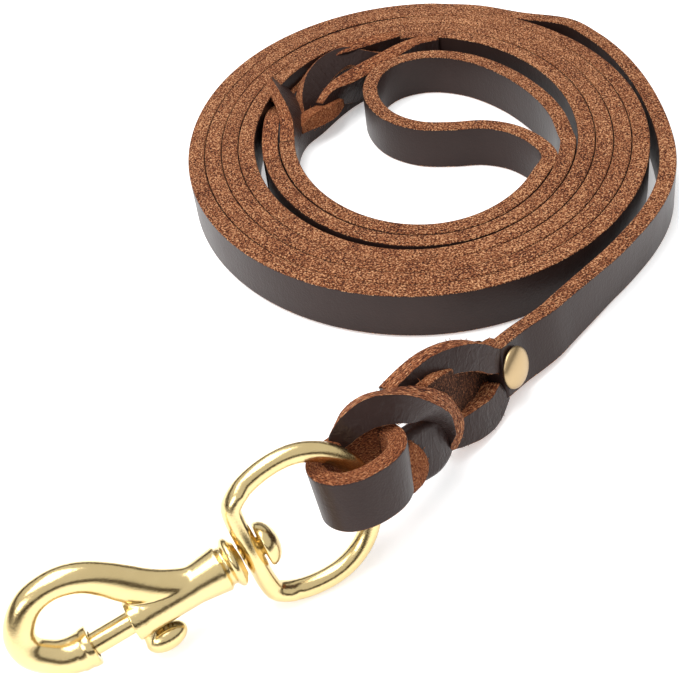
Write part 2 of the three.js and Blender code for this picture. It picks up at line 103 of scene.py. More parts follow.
def coil_point(degrees, extra_layers=0.0):
    """Middle of the strap at an angle round the coil; each full turn lies one layer further in."""
    angle = math.radians(degrees)
    inset = STRAP_THICKNESS / 2 + LAYER_PITCH * (degrees / 360 + extra_layers)
    if degrees > BRAID_START:
        inset += 1.0 - math.cos(angle)
    outer = Vector((COIL_HALF_WIDTH * math.cos(angle), COIL_HALF_LENGTH * math.sin(angle), 0))
    return outer - outward_of_coil(angle) * inset + Vector((*COIL_CENTRE, MIDDLE))


def coil_run(start, end, extra_layers=0.0, step=2.0):
    """Points along the coil between two angles, in degrees."""
    count = max(1, round(abs(end - start) / step))
    return [coil_point(start + (end - start) * i / count, extra_layers) for i in range(count + 1)]


def model_zero():
    """Where the coil's own zero lies in the row's frame, from the outer turn's box."""
    edge = []
    for tenth in range(10 * COIL_START, 10 * (COIL_START + 360), 5):
        angle = math.radians(tenth / 10)
        edge.append(coil_point(tenth / 10) + outward_of_coil(angle) * STRAP_THICKNESS / 2)
    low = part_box("coil_turn_1")[0]
    return Vector((low[0] / MM - min(p.x for p in edge), low[1] / MM - min(p.y for p in edge), low[2] / MM))


ZERO = model_zero()
TO_ROW = Matrix.Scale(MM, 4) @ Matrix.Translation(ZERO)

# ------------------------------------------------------------------ camera
CAMERA_POSITION = Vector((-32.2, -321.3, 199.8))
CAMERA_DIP = math.radians(40)
CAMERA_ROLL = math.radians(-8.5)
CAMERA_LENS = 66.43
SENSOR = 36


def add_camera():
    forward = Vector((0, math.cos(CAMERA_DIP), -math.sin(CAMERA_DIP)))
    level_right = Vector((1, 0, 0))
    level_up = level_right.cross(forward)
    right = level_right * math.cos(CAMERA_ROLL) + level_up * math.sin(CAMERA_ROLL)
    up = right.cross(forward)
    data = bpy.data.cameras.new("camera")
    data.lens = CAMERA_LENS
    data.sensor_width = SENSOR
    data.clip_start = 0.01
    data.clip_end = 20
    camera = bpy.data.objects.new("camera", data)
    camera.matrix_world = axes_at((CAMERA_POSITION + ZERO) * MM, right, up, -forward)
    bpy.context.scene.collection.objects.link(camera)
    bpy.context.scene.camera = camera


add_camera()


# ------------------------------------------------------------------ shader maths
def plug(tree, socket, value):
    """Links a signal to a socket, or sets a plain value on it."""
    value = value.value if isinstance(value, Signal) else value
    if isinstance(value, bpy.types.NodeSocket):
        tree.links.new(value, socket)
    else:
        socket.default_value = value


class Signal:
    """A socket, or a plain number, that takes part in arithmetic."""

    def __init__(self, tree, value):
        self.tree, self.value = tree, value

    def maths(self, operation, *others):
        node = self.tree.nodes.new("ShaderNodeMath")
        node.operation = operation
        for socket, item in zip(node.inputs, (self, *others)):
            plug(self.tree, socket, item)
        return Signal(self.tree, node.outputs[0])

    def __add__(self, other):
        return self.maths("ADD", other)

    def __sub__(self, other):
        return self.maths("SUBTRACT", other)

    def __rsub__(self, other):
        return Signal(self.tree, other).maths("SUBTRACT", self)

    def __mul__(self, other):
        return self.maths("MULTIPLY", other)

    __radd__ = __add__
    __rmul__ = __mul__

    def absolute(self):
        return self.maths("ABSOLUTE")


class Finish:
    """A node material for one finish of the lead."""

    def __init__(self, name):
        self.material = bpy.data.materials.new(name)
        self.material.use_nodes = True
        self.tree = self.material.node_tree
        self.shader = self.tree.nodes["Principled BSDF"]

    def node(self, kind, settings=None, inputs=None, output=0):
        """Any node: its settings first, then the values or links of its sockets."""
        made = self.tree.nodes.new("ShaderNode" + kind)
        for name, value in (settings or {}).items():
            if name == "stops":
                ramp = made.color_ramp
                while len(ramp.elements) < len(value):
                    ramp.elements.new(0.5)
                for element, (position, colour) in zip(ramp.elements, value):
                    element.position, element.color = position, (*colour, 1)
            else:
                setattr(made, name, value)
        for name, value in (inputs or {}).items():
            plug(self.tree, made.inputs[name], value)
        return Signal(self.tree, made.outputs[output])

    def place(self):
        return self.node("TexCoord", output="Object")

    def attribute(self, name):
        return self.node("Attribute", {"attribute_name": name}, output="Fac")

    def noise(self, where, scale, detail=3.0, roughness=0.55, distortion=0.0):
        return self.node("TexNoise", {}, {"Vector": where, "Scale": scale, "Detail": detail,
                                          "Roughness": roughness, "Distortion": distortion}, "Fac")

    def ramp(self, factor, stops):
        return self.node("ValToRGB", {"stops": stops}, {"Fac": factor}, "Color")

    def mix(self, factor, first, second):
        """Mixes two colours, by the Mix node's colour sockets."""
        return self.node("Mix", {"data_type": "RGBA"}, {0: factor, 6: first, 7: second}, 2)

    def above(self, value, threshold, softness):
        """0 below the threshold and 1 above it, with a soft step between."""
        return self.node("MapRange", {"interpolation_type": "SMOOTHSTEP"}, {
            "Value": value, "From Min": threshold - softness, "From Max": threshold + softness}, "Result")

    def bump(self, height, distance, strength):
        return self.node("Bump", {}, {"Height": height, "Distance": distance, "Strength": strength}, "Normal")

    def set(self, **sockets):
        """Sets the shader's sockets, named in lower case with underscores."""
        for name, value in sockets.items():
            socket = self.shader.inputs[name.replace("_", " ").title().replace("Ior", "IOR")]
            plug(self.tree, socket, value)


# Rust-brown of the raw leather, from its dark pores to its pale fibre tips.
RAW_STOPS = [
    (0.10, (0.020, 0.005, 0.002)), (0.32, (0.115, 0.027, 0.009)),
    (0.50, (0.275, 0.082, 0.029)), (0.68, (0.440, 0.165, 0.065)), (0.92, (0.850, 0.470, 0.235)),
]
FLESH_STOPS = [
    (0.20, (0.012, 0.006, 0.004)), (0.42, (0.045, 0.020, 0.013)),
    (0.55, (0.085, 0.036, 0.020)), (0.66, (0.210, 0.075, 0.034)), (0.82, (0.480, 0.220, 0.120)),
]
GRAIN_DARK = (0.018, 0.0080, 0.0064, 1)
GRAIN_LIGHT = (0.034, 0.0175, 0.0145, 1)


def raw_fibre(finish, where, scale, contrast):
    """Speckle of cut fibres, about 0.5."""
    fine = finish.noise(where, scale, 2.0, 0.6)
    fibre = finish.noise(where, scale * 2.1, 2.0, 0.7)
    patch = finish.noise(where, 170, 3.0)
    broad = finish.noise(where, 22, 2.0)
    speckle = (fine * 0.6 + fibre * 0.4 - 0.5) * contrast + 0.5
    return speckle + (patch - 0.5) * 0.35 + (broad - 0.5) * 0.30


def along_the_strap(finish, stretch):
    """A place on the strap itself, its length scaled by stretch."""
    return finish.node("CombineXYZ", {}, {
        "X": finish.attribute("along") * stretch, "Y": finish.attribute("across") * (STRAP_WIDTH * MM / 2),
        "Z": finish.attribute("depth") * (STRAP_THICKNESS * MM / 2)})


def leather_finish(name, wrinkled, cut_edges=True, raw_inside=False, scale=2400, contrast=4.0, stretch=0.8):
    """Dark grain on the strap's faces and raw fibre on its cut edges."""
    finish = Finish(name)
    where = finish.place()
    cloud = finish.noise(where, 90, 4.0)
    grain = finish.mix(cloud, GRAIN_DARK, GRAIN_LIGHT)
    pebble = finish.node("TexVoronoi", {"feature": "F1"}, {"Vector": where, "Scale": 1900.0}, "Distance")
    crease = finish.noise(where, 380, 4.0, 0.6, 1.2)
    relief = pebble * 0.10 + crease * (0.12 + wrinkled * 0.5)
    fold = finish.noise(along_the_strap(finish, 3.5), 170, 3.0, 0.6, 0.8)
    relief = relief + fold * wrinkled * 1.4
    gloss = 0.36 + (cloud - 0.5) * 0.14
    finish.set(specular_ior_level=0.22)
    if not cut_edges:
        finish.set(base_color=grain, roughness=gloss, normal=finish.bump(relief, 0.0003, 0.9))
        return finish.material
    speckle = raw_fibre(finish, along_the_strap(finish, stretch), scale, contrast)
    across = finish.attribute("across").absolute() + (speckle - 0.5) * 0.035
    edge = finish.above(across, 0.955, 0.010)
    if raw_inside:
        edge = edge.maths("MAXIMUM", finish.above(0 - finish.attribute("depth"), 0.95, 0.02))
    finish.set(base_color=finish.mix(edge, grain, finish.ramp(speckle, RAW_STOPS)))
    finish.set(roughness=gloss + edge * 0.52)
    relief = relief * (1 - edge) + speckle * edge * 1.5
    finish.set(normal=finish.bump(relief, 0.0003, 0.9))
    return finish.material


def fibre_finish(name, stops):
    """The strap's uncovered inside: matted fibres."""
    finish = Finish(name)
    where = finish.place()
    speckle = raw_fibre(finish, where, 2200, 2.8)
    matted = finish.noise(where, 900, 3.0, 0.6, 2.0)
    mixed = speckle * 0.6 + matted * 0.4
    colour = finish.ramp(mixed, stops)
    if stops is not RAW_STOPS:
        rim = finish.above(finish.attribute("across").absolute(), 0.94, 0.02)
        colour = finish.mix(rim, colour, finish.ramp(speckle, RAW_STOPS))
    finish.set(base_color=colour, roughness=0.92, specular_ior_level=0.15)
    finish.set(normal=finish.bump(mixed, 0.0008, 1.0))
    return finish.material


def metal_finish(name, colour, roughness, grain_scale, grain_depth):
    """Bare metal with a fine grain and a faint cloud of tarnish."""
    finish = Finish(name)
    where = finish.place()
    grit = finish.noise(where, grain_scale, 3.0, 0.6)
    cloud = finish.noise(where, 110, 3.0)
    deep = tuple(channel * depth for channel, depth in zip(colour, (0.84, 0.78, 0.66)))
    finish.set(base_color=finish.mix(cloud, (*deep, 1), (*colour, 1)))
    finish.set(metallic=1.0, roughness=roughness + (grit - 0.5) * 0.10 + (cloud - 0.5) * 0.10)
    finish.set(normal=finish.bump(grit * 0.35 + cloud * 0.65, grain_depth, 0.55))
    return finish.material


LEATHER = leather_finish("strap_leather", 0.12)
CREASED_LEATHER = leather_finish("creased_strap_leather", 0.9, scale=3200, contrast=3.0, stretch=0.35)
LOOP_LEATHER = leather_finish("loop_leather", 0.25, raw_inside=True, scale=3600, contrast=2.6, stretch=0.4)
GRAIN_LEATHER = leather_finish("grain_all_round_leather", 0.9, cut_edges=False)
RAW_LEATHER = fibre_finish("raw_leather", RAW_STOPS)
FLESH_LEATHER = fibre_finish("flesh_side_leather", FLESH_STOPS)
BRASS = metal_finish("polished_cast_brass", (0.82, 0.66, 0.35), 0.20, 2600, 0.00012)
RIVET_BRASS = metal_finish("satin_rivet_brass", (0.54, 0.405, 0.235), 0.36, 3800, 0.00005)
STEEL = metal_finish("drawn_steel", (0.62, 0.62, 0.62), 0.30, 3000, 0.00003)


# ------------------------------------------------------------------ making pieces
def object_from(bm, name):
    """A new object that holds the bmesh; the bmesh is used up."""
    mesh = bpy.data.meshes.new(name)
    bm.to_mesh(mesh)
    bm.free()
    made = bpy.data.objects.new(name, mesh)
    bpy.context.scene.collection.objects.link(made)
    return made


def finish_piece(name, bm, body, finish, replaced=(), weighted=True):
    """Puts a bmesh, drawn in millimetres, into the row's frame as a finished piece."""
    bmesh.ops.transform(bm, matrix=TO_ROW, verts=bm.verts)
    piece = object_from(bm, name)
    piece.data.materials.append(finish)
    piece.data.polygons.foreach_set("use_smooth", [True] * len(piece.data.polygons))
    if weighted:
        piece.modifiers.new("even_shading", "WEIGHTED_NORMAL").keep_sharp = True
    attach(piece, body)
    if replaced:
        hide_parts(*replaced)
    return piece


def blended(before, start, end, after, t):
    """Catmull-Rom between start and end."""
    return 0.5 * (2 * start + (end - before) * t + (2 * before - 5 * start + 4 * end - after) * t * t
                  + (3 * start - before - 3 * end + after) * t * t * t)


def smooth_route(points, spacing):
    """A finer route through the points; each holds a place and whatever else goes with it."""
    points = [Vector(p) for p in points]
    fine = []
    for i in range(len(points) - 1):
        before = points[i - 1] if i else 2 * points[0] - points[1]
        after = points[i + 2] if i + 2 < len(points) else 2 * points[-1] - points[-2]
        length = (Vector(points[i + 1][:3]) - Vector(points[i][:3])).length
        count = max(1, round(length / spacing))
        fine += [blended(before, points[i], points[i + 1], after, j / count) for j in range(count)]
    return fine + [points[-1]]


def even_route(points, spacing):
    """The same route with its points spaced evenly."""
    run = [0.0]
    for a, b in zip(points, points[1:]):
        run.append(run[-1] + (b - a).length)
    count = max(2, round(run[-1] / spacing))
    out = []
    for i in range(count + 1):
        want = run[-1] * i / count
        k = min(max(bisect.bisect_right(run, want) - 1, 0), len(points) - 2)
        gap = run[k + 1] - run[k]
        out.append(points[k].lerp(points[k + 1], (want - run[k]) / gap if gap else 0))
    return out


def section(bm, width, thickness, rounding, segments=2):
    """A flat strap's section: a rounded rectangle in the XY plane, with attributes for its finish."""
    made = bmesh.ops.create_grid(bm, x_segments=1, y_segments=1, size=0.5)
    bmesh.ops.scale(bm, vec=(width, thickness, 1), verts=made["verts"])
    bmesh.ops.bevel(bm, geom=bm.verts[:], offset=rounding, offset_type="OFFSET", segments=segments,
                    profile=0.5, affect="VERTICES", material=-1)
    across = bm.verts.layers.float.new("across")
    depth = bm.verts.layers.float.new("depth")
    bm.verts.layers.float.new("along")
    for vert in bm.verts:
        vert[across] = 2 * vert.co.x / width
        vert[depth] = 2 * vert.co.y / thickness


def frames_along(places, widths):
    """A matrix at each place: X across the strap, Y through it and Z forward."""
    frames = []
    for i, place in enumerate(places):
        ahead = (places[min(i + 1, len(places) - 1)] - places[max(i - 1, 0)]).normalized()
        across = (widths[i] - ahead * widths[i].dot(ahead)).normalized()
        frames.append(axes_at(place, across, ahead.cross(across), ahead))
    return frames


def grow(bm, ring):
    """Extrudes an open edge ring in place; returns the new vertices and the new ring."""
    grown = bmesh.ops.extrude_edge_only(bm, edges=ring)["geom"]
    fresh = [g for g in grown if isinstance(g, bmesh.types.BMVert)]
    known = set(fresh)
    edges = [g for g in grown if isinstance(g, bmesh.types.BMEdge) and known.issuperset(g.verts)]
    return fresh, edges


def sweep(bm, frames, sizes=None, closed=False):
    """Draws the section that bm holds along the frames; sizes scale it across and through."""
    along = bm.verts.layers.float.get("along")
    faces = bm.faces[:]
    ring = [e for e in bm.edges if e.is_boundary]
    sizes = sizes or [(1, 1)] * len(frames)
    steps = [f @ Matrix.Diagonal((sx, sy, 1, 1)) for f, (sx, sy) in zip(frames, sizes)]
    bmesh.ops.transform(bm, matrix=steps[0], verts=bm.verts)
    if closed:
        bmesh.ops.delete(bm, geom=faces, context="FACES_ONLY")
    first, travelled = ring, 0.0
    for i in range(1, len(steps)):
        fresh, ring = grow(bm, ring)
        travelled += (frames[i].translation - frames[i - 1].translation).length
        bmesh.ops.transform(bm, matrix=steps[i] @ steps[i - 1].inverted(), verts=fresh)
        if along:
            for vert in fresh:
                vert[along] = travelled * MM
    if closed:
        bmesh.ops.bridge_loops(bm, edges=first + ring)
    else:
        bmesh.ops.edgeloop_fill(bm, edges=ring)
    bmesh.ops.recalc_face_normals(bm, faces=bm.faces)


# The frames and sizes of each strap that has been made, for the fibres on its edges.
STRAPS = {}


def strap_piece(name, places, widths, replaced, finish=LEATHER, sizes=None, rounding=0.45, segments=2):
    """A length of the strap along the places; widths are the directions across it."""
    bm = bmesh.new()
    section(bm, STRAP_WIDTH, STRAP_THICKNESS, rounding, segments)
    frames = frames_along(places, widths)
    STRAPS[name] = (frames, sizes or [(1, 1)] * len(frames))
    sweep(bm, frames, sizes)
    finish_piece(name, bm, "leather", finish, replaced)


def in_frame(matrix, points):
    return [matrix @ Vector(p) for p in points]


STRAND_STEP = 0.8


def strand(name, matrix, stations, replaced=(), finish=CREASED_LEATHER, **shape):
    """A strand of a braid. A station: its place, the direction across it, its width and thickness."""
    full = [(*s, STRAP_THICKNESS) if len(s) == 7 else s for s in stations]
    fine = smooth_route(full, STRAND_STEP)
    places = [matrix @ Vector(s[:3]) for s in fine]
    turn = matrix.to_3x3()
    widths = [turn @ Vector(s[3:6]) for s in fine]
    sizes = [(s[6] / STRAP_WIDTH, s[7] / STRAP_THICKNESS) for s in fine]
    strap_piece(name, places, widths, replaced, finish=finish, sizes=sizes, **shape)


# ------------------------------------------------------------------ the strap
LEAD_ROUTE = [
    # x, y and lift of the run from the rivet to the coil
    (16, -101.4, 0.6), (21, -96.5, 0.4), (30.5, -87.4, 0.2), (40.5, -77.6, 0), (50, -66.8, 0),
    (57, -55.5, 0), (61.5, -43, 0), (64.0, -29, 0), (65.0, -14, 0), (64.6, 1, 0), (62.6, 15, 0),
    (59, 27.5, 0), (53.2, 39, 0),
]
HAND_LOOP_BOW = [
    # x and y of the free bow, from the outer leg to the inner leg
    (38.0, -27), (38.0, -14), (35.2, -1), (29.0, 13), (20.0, 24.5), (9.5, 30.6), (-0.5, 30.4),
    (-8.0, 25.2), (-11.8, 16.5), (-11.8, 6.5), (-8.2, -3.2), (-1.0, -10.2), (8.0, -13.2),
    (17.0, -14.8), (24.5, -19.6), (29.6, -27.5), (31.4, -35.5),
]


def lead_and_coil():
    """The run from the rivet, which leans like the braid at first, and the coil's uneven turns."""
    uneven, settling, wave = 0.55, 40, 0.021
    upright_from, upright_over, leaning_steps = 10, 32, 60
    flat = in_frame(BRAID, [(4, 0, 0), (0, 0, 0), (-6, 0, 0)])
    plan = [Vector((x, y, MIDDLE + lift)) for x, y, lift in LEAD_ROUTE]
    lead = smooth_route(flat + plan + coil_run(COIL_START - 25, COIL_START, step=12.5), ROUTE_STEP)
    lead = even_route(lead, STRAP_STEP)
    turns = coil_run(COIL_START + 1, BRAID_START - 1, step=STRAP_STEP)
    for i, place in enumerate(turns):
        place.z += min(i / settling, 1) * uneven * (noise.noise(Vector((i * wave, 4.0, 0))) + 0.5)
    places = lead + turns
    leaning = BRAID.to_3x3() @ UP
    widths = []
    for place in places:
        reach = min(max(((place - flat[1]).length - upright_from) / upright_over, 0), 1)
        widths.append(leaning.lerp(UP, reach) if place in lead[:leaning_steps] else UP)
    strap_piece("coiled_strap", places, widths,
                ("lead_strap", "coil_turn_1", "coil_turn_2", "coil_turn_3", "coil_turn_4", "coil_inner_run"),
                sizes=[(1, 1)] * len(lead) + [(1, 1.05)] * len(turns))


def hand_loop():
    """Two legs against the inside of the coil and a free bow between their ends."""
    outer_end = 360 * (COIL_TURNS + 1) - 17
    inner_end = outer_end - 18
    outer = coil_run(BRAID_END + 1, outer_end)
    inner = coil_run(BRAID_END + 1, inner_end, 1)[::-1]
    bow = [Vector((x, y, MIDDLE)) for x, y in HAND_LOOP_BOW]
    places = even_route(smooth_route(outer + bow + inner, ROUTE_STEP), STRAP_STEP)
    strap_piece("hand_loop_strap", places, [UP] * len(places), ("hand_loop",))


def hand_braid():
    """The strands of the braid that makes the hand loop, placed from the coil's zero."""
    plan = Matrix.Identity(4)
    strand("hand_braid_grey_fold", plan, [
        (-39.0, -17, 9.7, 0, 0, 1, 5.7, 4.3), (-38.9, -11, 9.7, 0, 0, 1, 5.7, 4.3),
        (-38.3, -4, 9.8, -0.1, 0, 1, 6.0, 4.3), (-37.3, 3, 10.0, -0.35, 0, 0.95, 6.4, 4.1),
        (-37.1, 10, 10.8, -0.6, 0, 0.8, 7.2, 3.8), (-38.0, 18, 11.6, -0.72, 0.1, 0.68, 7.8, 3.5),
        (-39.6, 26, 11.2, -0.74, 0.3, 0.6, 7.2, 3.1), (-39.9, 31, 9.0, -0.6, 0.55, 0.55, 5.6, 3.0),
        (-38.2, 35, 6.0, -0.4, 0.6, 0.6, 4.4, 3.0),
    ], ("hand_braid_inner_upper_strand",))
    strand("hand_braid_dark_over", plan, [
        (-4, 42.0, 6.4, 0, 0.2, 1, 4.4, 3.2), (-10.4, 42.4, 8.0, -0.1, 0.45, 0.9, 5.0, 3.4),
        (-17.8, 41.8, 9.6, -0.3, 0.62, 0.72, 6.4, 3.7), (-23.8, 36.0, 10.0, -0.5, 0.55, 0.66, 7.4, 3.5),
        (-28.0, 28.6, 9.8, -0.62, 0.4, 0.66, 7.8, 3.4), (-30.8, 21, 8.8, -0.6, 0.25, 0.74, 7.4, 3.4),
        (-32.6, 15, 7.2, -0.45, 0.1, 0.88, 6.0, 3.3), (-33.6, 11, 6.4, -0.2, 0, 1, 4.4, 3.0),
    ], ("hand_braid_outer_upper_strand",))
    strand("hand_braid_lower_leg", plan, [
        (-39.0, -17, 3.1, 0, 0, 1, 5.7, 4.3), (-38.9, -11, 3.1, 0, 0, 1, 5.7, 4.3),
        (-38.1, 0, 3.3, 0, 0, 1, 6.2, 4.3), (-35.0, 8.6, 3.4, 0, 0, 1, 6.6, 4.2),
        (-29.4, 15.2, 3.5, -0.1, 0.1, 1, 6.8, 4.0), (-23.2, 22.8, 3.6, -0.1, 0.1, 1, 6.6, 4.0),
        (-17.5, 28.0, 3.8, 0, 0, 1, 6.4, 4.0), (-11, 32.4, 4.2, 0, 0, 1, 7.0, 3.8),
    ], ("hand_braid_inner_lower_strand",))
    strand("hand_braid_flesh_fold", plan, [
        (-35.4, 6.0, 7.4, 0, 0, 1, 2.8, 3.0), (-32.6, 9.4, 7.5, -0.1, 0, 1, 4.6, 4.2),
        (-28.6, 12.2, 7.4, -0.1, 0.2, 1, 5.4, 4.8), (-24.6, 14.8, 7.4, 0, 0.2, 1, 4.6, 4.2),
        (-21.4, 18.6, 7.4, 0, 0, 1, 2.6, 3.0),
    ], (), finish=RAW_LEATHER, rounding=1.2, segments=3)
    strand("hand_braid_back_leg", plan, [
        (-43.9, -17, 6.4, 0, 0, 1, 12.7, 4.5), (-43.9, -10, 6.4, 0, 0, 1, 12.7, 4.6),
        (-43.4, -2, 6.3, 0, 0, 1, 12.5, 4.8), (-42.4, 7, 6.0, 0, 0, 1, 12.0, 4.8),
        (-40.8, 17, 4.8, 0, 0, 1, 9.4, 4.6), (-37.2, 27, 4.2, 0, 0, 1, 8.0, 4.4),
        (-30.6, 36.6, 4.8, 0, 0, 1, 9.2, 4.4), (-23, 41.6, 6.2, 0, -0.1, 1, 12.2, 4.9),
        (-14.4, 45.8, 6.4, 0, -0.2, 1, 12.7, 5.4), (-4, 48.4, 6.4, 0, -0.15, 1, 12.7, 5.2),
        (6, 49.6, 6.4, 0, -0.05, 1, 12.7, 4.9), (14, 48.8, 6.35, 0, 0, 1, 12.7, 4.6),
    ], ("hand_braid_outer_lower_strand",))
    strand("cut_strap_end", plan, [
        (-27.6, 13.6, 9.2, -0.1, 0, 1, 3.6, 2.6), (-24.6, 17.6, 9.6, -0.1, 0, 1, 5.4, 3.4),
        (-20.8, 22.8, 8.8, 0.1, -0.3, 0.95, 7.6, 4.6), (-14.4, 29.2, 7.0, 0.1, -0.32, 0.94, 11.0, 5.2),
        (-6.4, 34.6, 6.5, 0.1, -0.28, 0.95, 12.6, 5.2), (0.4, 38.6, 6.4, 0, -0.15, 1, 12.7, 4.9),
        (6.6, 40.9, 6.35, 0, 0, 1, 12.7, 4.6), (12.6, 41.6, 6.35, 0, 0, 1, 12.7, 4.6),
    ], ("strap_tail",))


def snap_braid():
    """The strands behind the snap, placed in the braid's own frame: along, front, across."""
    strand("braid_upper_leg", BRAID, [
        (4.3, 0, 3.6, 0, 0, 1, 5.6), (7, 0, 4.9, 0, 0, 1, 6.0), (10, -0.3, 7.2, 0, 0, 1, 6.2),
        (14, -1.0, 9.0, 0, 0, 1, 6.4),
        (17.5, -2.2, 9.8, 0, 0, 1, 6.4), (21, -3.5, 9.9, 0, 0, 1, 6.4), (24.6, -4.6, 9.5, 0, 0, 1, 6.2),
        (28.8, -5.6, 8.5, 0, 0, 1, 6.0), (33.0, -6.6, 7.2, 0, 0, 1, 5.6),
    ], ("snap_braid_upper_leg",))
    strand("braid_lower_leg", BRAID, [
        (4.3, 0, -3.9, 0, 0, 1, 6.2), (9, 0.1, -6.4, 0, 0, 1, 7.4), (14, 0.0, -6.6, 0, 0, 1, 7.8),
        (18.4, -0.8, -6.4, 0.05, 0, 1, 7.2), (22.5, -2.2, -6.2, 0.1, 0, 1, 6.2),
    ], ("snap_braid_lower_leg",))
    strand("braid_lower_strand", BRAID, [
        (22.6, -1.8, -5.4, 0, 0, 1, 6.0, 3.6), (25.2, -0.6, -3.6, 0, 0, 1, 10.5, 4.2),
        (28.5, -0.1, -3.4, 0, 0, 1, 12.8), (32, 0.1, -3.5, 0.05, 0, 1, 13.4),
        (36, -0.2, -3.0, 0.1, 0, 1, 13.4), (40, -1.0, -2.8, 0.1, 0, 1, 12.4),
        (43, -2.0, -2.6, 0.1, 0, 1, 11.0),
    ], ("snap_braid_lower_strand",), finish=GRAIN_LEATHER, rounding=1.9, segments=4)
    strand("braid_raw_fold", BRAID, [
        (39.8, -0.6, -9.6, 1, 0, 0.1, 2.6, 3.0), (39.2, 0.8, -7.6, 1, 0, 0.1, 5.6, 3.2),
        (38.8, 1.5, -5.0, 1, 0, 0, 6.8, 3.2), (39.2, 1.4, -2.0, 1, 0, -0.1, 5.8, 3.2),
        (40.2, 0.8, 1.6, 1, 0, -0.2, 2.6, 3.0),
    ], (), finish=RAW_LEATHER, rounding=1.4, segments=3)
    strand("braid_crossing_strand", BRAID, [
        (50.8, -6.6, 6.0, -0.1, 0.1, 1, 3.6, 3.0), (50.2, -5.2, 8.4, -0.15, 0.1, 1, 4.8, 3.8),
        (48.6, -3.4, 10.6, -0.25, 0, 1, 5.8), (45.6, -1.1, 11.8, -0.5, 0.1, 0.85, 6.4),
        (41.6, 1.5, 11.2, -0.6, 0.25, 0.75, 6.3), (38.7, 2.9, 10.3, -0.6, 0.45, 0.65, 6.3),
        (35.6, 3.7, 8.9, -0.5, 0.7, 0.5, 6.2), (32.8, 3.5, 7.2, -0.35, 0.85, 0.4, 6.0),
        (30.0, 2.9, 5.0, -0.25, 0.9, 0.35, 6.0), (27.6, 2.2, 2.2, -0.1, 0.95, 0.3, 5.8),
        (25.4, 1.5, -1.4, 0, 0.98, 0.2, 5.6), (24.8, 0.6, -4.4, 0.1, 0.95, 0.1, 5.0, 3.6),
        (25.0, -0.4, -7.0, 0.1, 0.95, 0.1, 4.4, 2.6),
    ], ("snap_braid_crossing_strand",))
    strand("riveted_end", BRAID, [
        (-5.2, -4.85, -1.4, 0, 0, 1, 10.6, 3.6), (-3.6, -4.85, -1.4, 0, 0, 1, 11.2, 4.5),
        (3.6, -4.85, -1.0, 0, 0, 1, 11.2, 4.5), (7, -4.4, 0, 0, 0, 1, 11.2, 3.9),
        (11, -3.4, 1.3, 0, 0, 1, 11.4, 3.4), (16, -2.4, 1.9, -0.05, 0, 1, 11.8, 3.2),
        (21, -1.4, 2.8, -0.1, 0, 1, 12.0, 3.2), (26, -0.8, 4.0, -0.2, 0, 1, 11.4, 3.0),
        (30.5, -0.8, 5.2, -0.2, 0, 1, 9.0, 3.0),
    ], ("riveted_strap_end",), finish=FLESH_LEATHER, rounding=0.8, segments=3)


SNAP_LOOP_LINE = [
    # along, front: from the back wall, round the snap's end and back to where both walls meet
    (-10.2, -2.9), (-8.1, -4.6), (-4.7, -6.0), (-0.9, -6.4), (2.7, -5.8), (5.7, -3.8), (7.1, -0.2),
    (6.0, 3.5), (2.9, 5.7), (-1.1, 6.4), (-4.9, 6.0), (-8.0, 4.4), (-9.7, 1.7), (-10.0, -0.4), (-9.8, -2.0),
]


def snap_loop():
    """The strap bent round the swivel eye; its upper edge flares out and its lower edge in."""
    thick, flare = 3.8, 0.045
    places = even_route(smooth_route([(x, y, 0) for x, y in SNAP_LOOP_LINE], 0.4), 0.6)
    bm = bmesh.new()
    section(bm, STRAP_WIDTH, thick, 0.5)
    frames = frames_along(places, [UP] * len(places))
    sweep(bm, frames)
    for vert in bm.verts:
        height = 2 * vert.co.z / STRAP_WIDTH
        vert.co.x *= 1 + flare * height * abs(height)
        vert.co.y *= 1 + flare * height * abs(height)
    bmesh.ops.transform(bm, matrix=LOOP, verts=bm.verts)
    finish_piece("snap_strap_loop", bm, "leather", LOOP_LEATHER, ("snap_loop",))


FIBRE_RADIUS = 0.10
FIBRE_ROOT_DEPTH = 0.15


def fibre_at(bm, root, lean, curl, reach):
    """One curled three-sided fibre that thins out from its root; returns its vertices."""
    base = lean.to_track_quat("Z", "Y").to_matrix().to_4x4()
    made = bmesh.ops.create_circle(bm, cap_ends=True, radius=FIBRE_RADIUS, segments=3,
                                   matrix=Matrix.Translation(root) @ base)
    fibre = list(made["verts"])
    ring = list({e for v in fibre for e in v.link_edges})
    for bend, thinner in ((0, 0.8), (0.5, 0.25)):
        fresh, ring = grow(bm, ring)
        bmesh.ops.translate(bm, verts=fresh, vec=lean * reach / 2 + curl * bend)
        centre = sum((v.co for v in fresh), Vector()) / len(fresh)
        for vert in fresh:
            vert.co = centre + (vert.co - centre) * thinner
        fibre += fresh
    bmesh.ops.edgeloop_fill(bm, edges=ring)
    return fibre


def stray_fibres(name, straps, spacing, length, seed):
    """Short loose fibres that stand off the cut edges of the straps."""
    chance = random.Random(seed)
    bm = bmesh.new()
    for strap in straps:
        frames, sizes = STRAPS[strap]
        gap = (frames[1].translation - frames[0].translation).length
        for frame_here, (wide, thick) in zip(frames, sizes):
            for _ in range(2):
                if chance.random() > gap / spacing:
                    continue
                side = chance.choice((-1, 1))
                reach = length * (0.35 + chance.random())
                face = chance.choice((-1, 1)) * STRAP_THICKNESS * thick / 2
                root = Vector((side * (STRAP_WIDTH * wide / 2 - FIBRE_ROOT_DEPTH),
                               face * (0.75 + 0.2 * chance.random()), 0))
                lean = Vector((side, chance.uniform(-1.2, 1.2), chance.uniform(-1.2, 1.2))).normalized()
                curl = Vector((0, chance.uniform(-0.6, 0.6), chance.uniform(-0.6, 0.6))) * reach
                fibre = fibre_at(bm, root, lean, curl, reach)
                bmesh.ops.transform(bm, matrix=frame_here, verts=fibre)
    bmesh.ops.recalc_face_normals(bm, faces=bm.faces)
    finish_piece(name, bm, "leather", RAW_LEATHER, weighted=False)


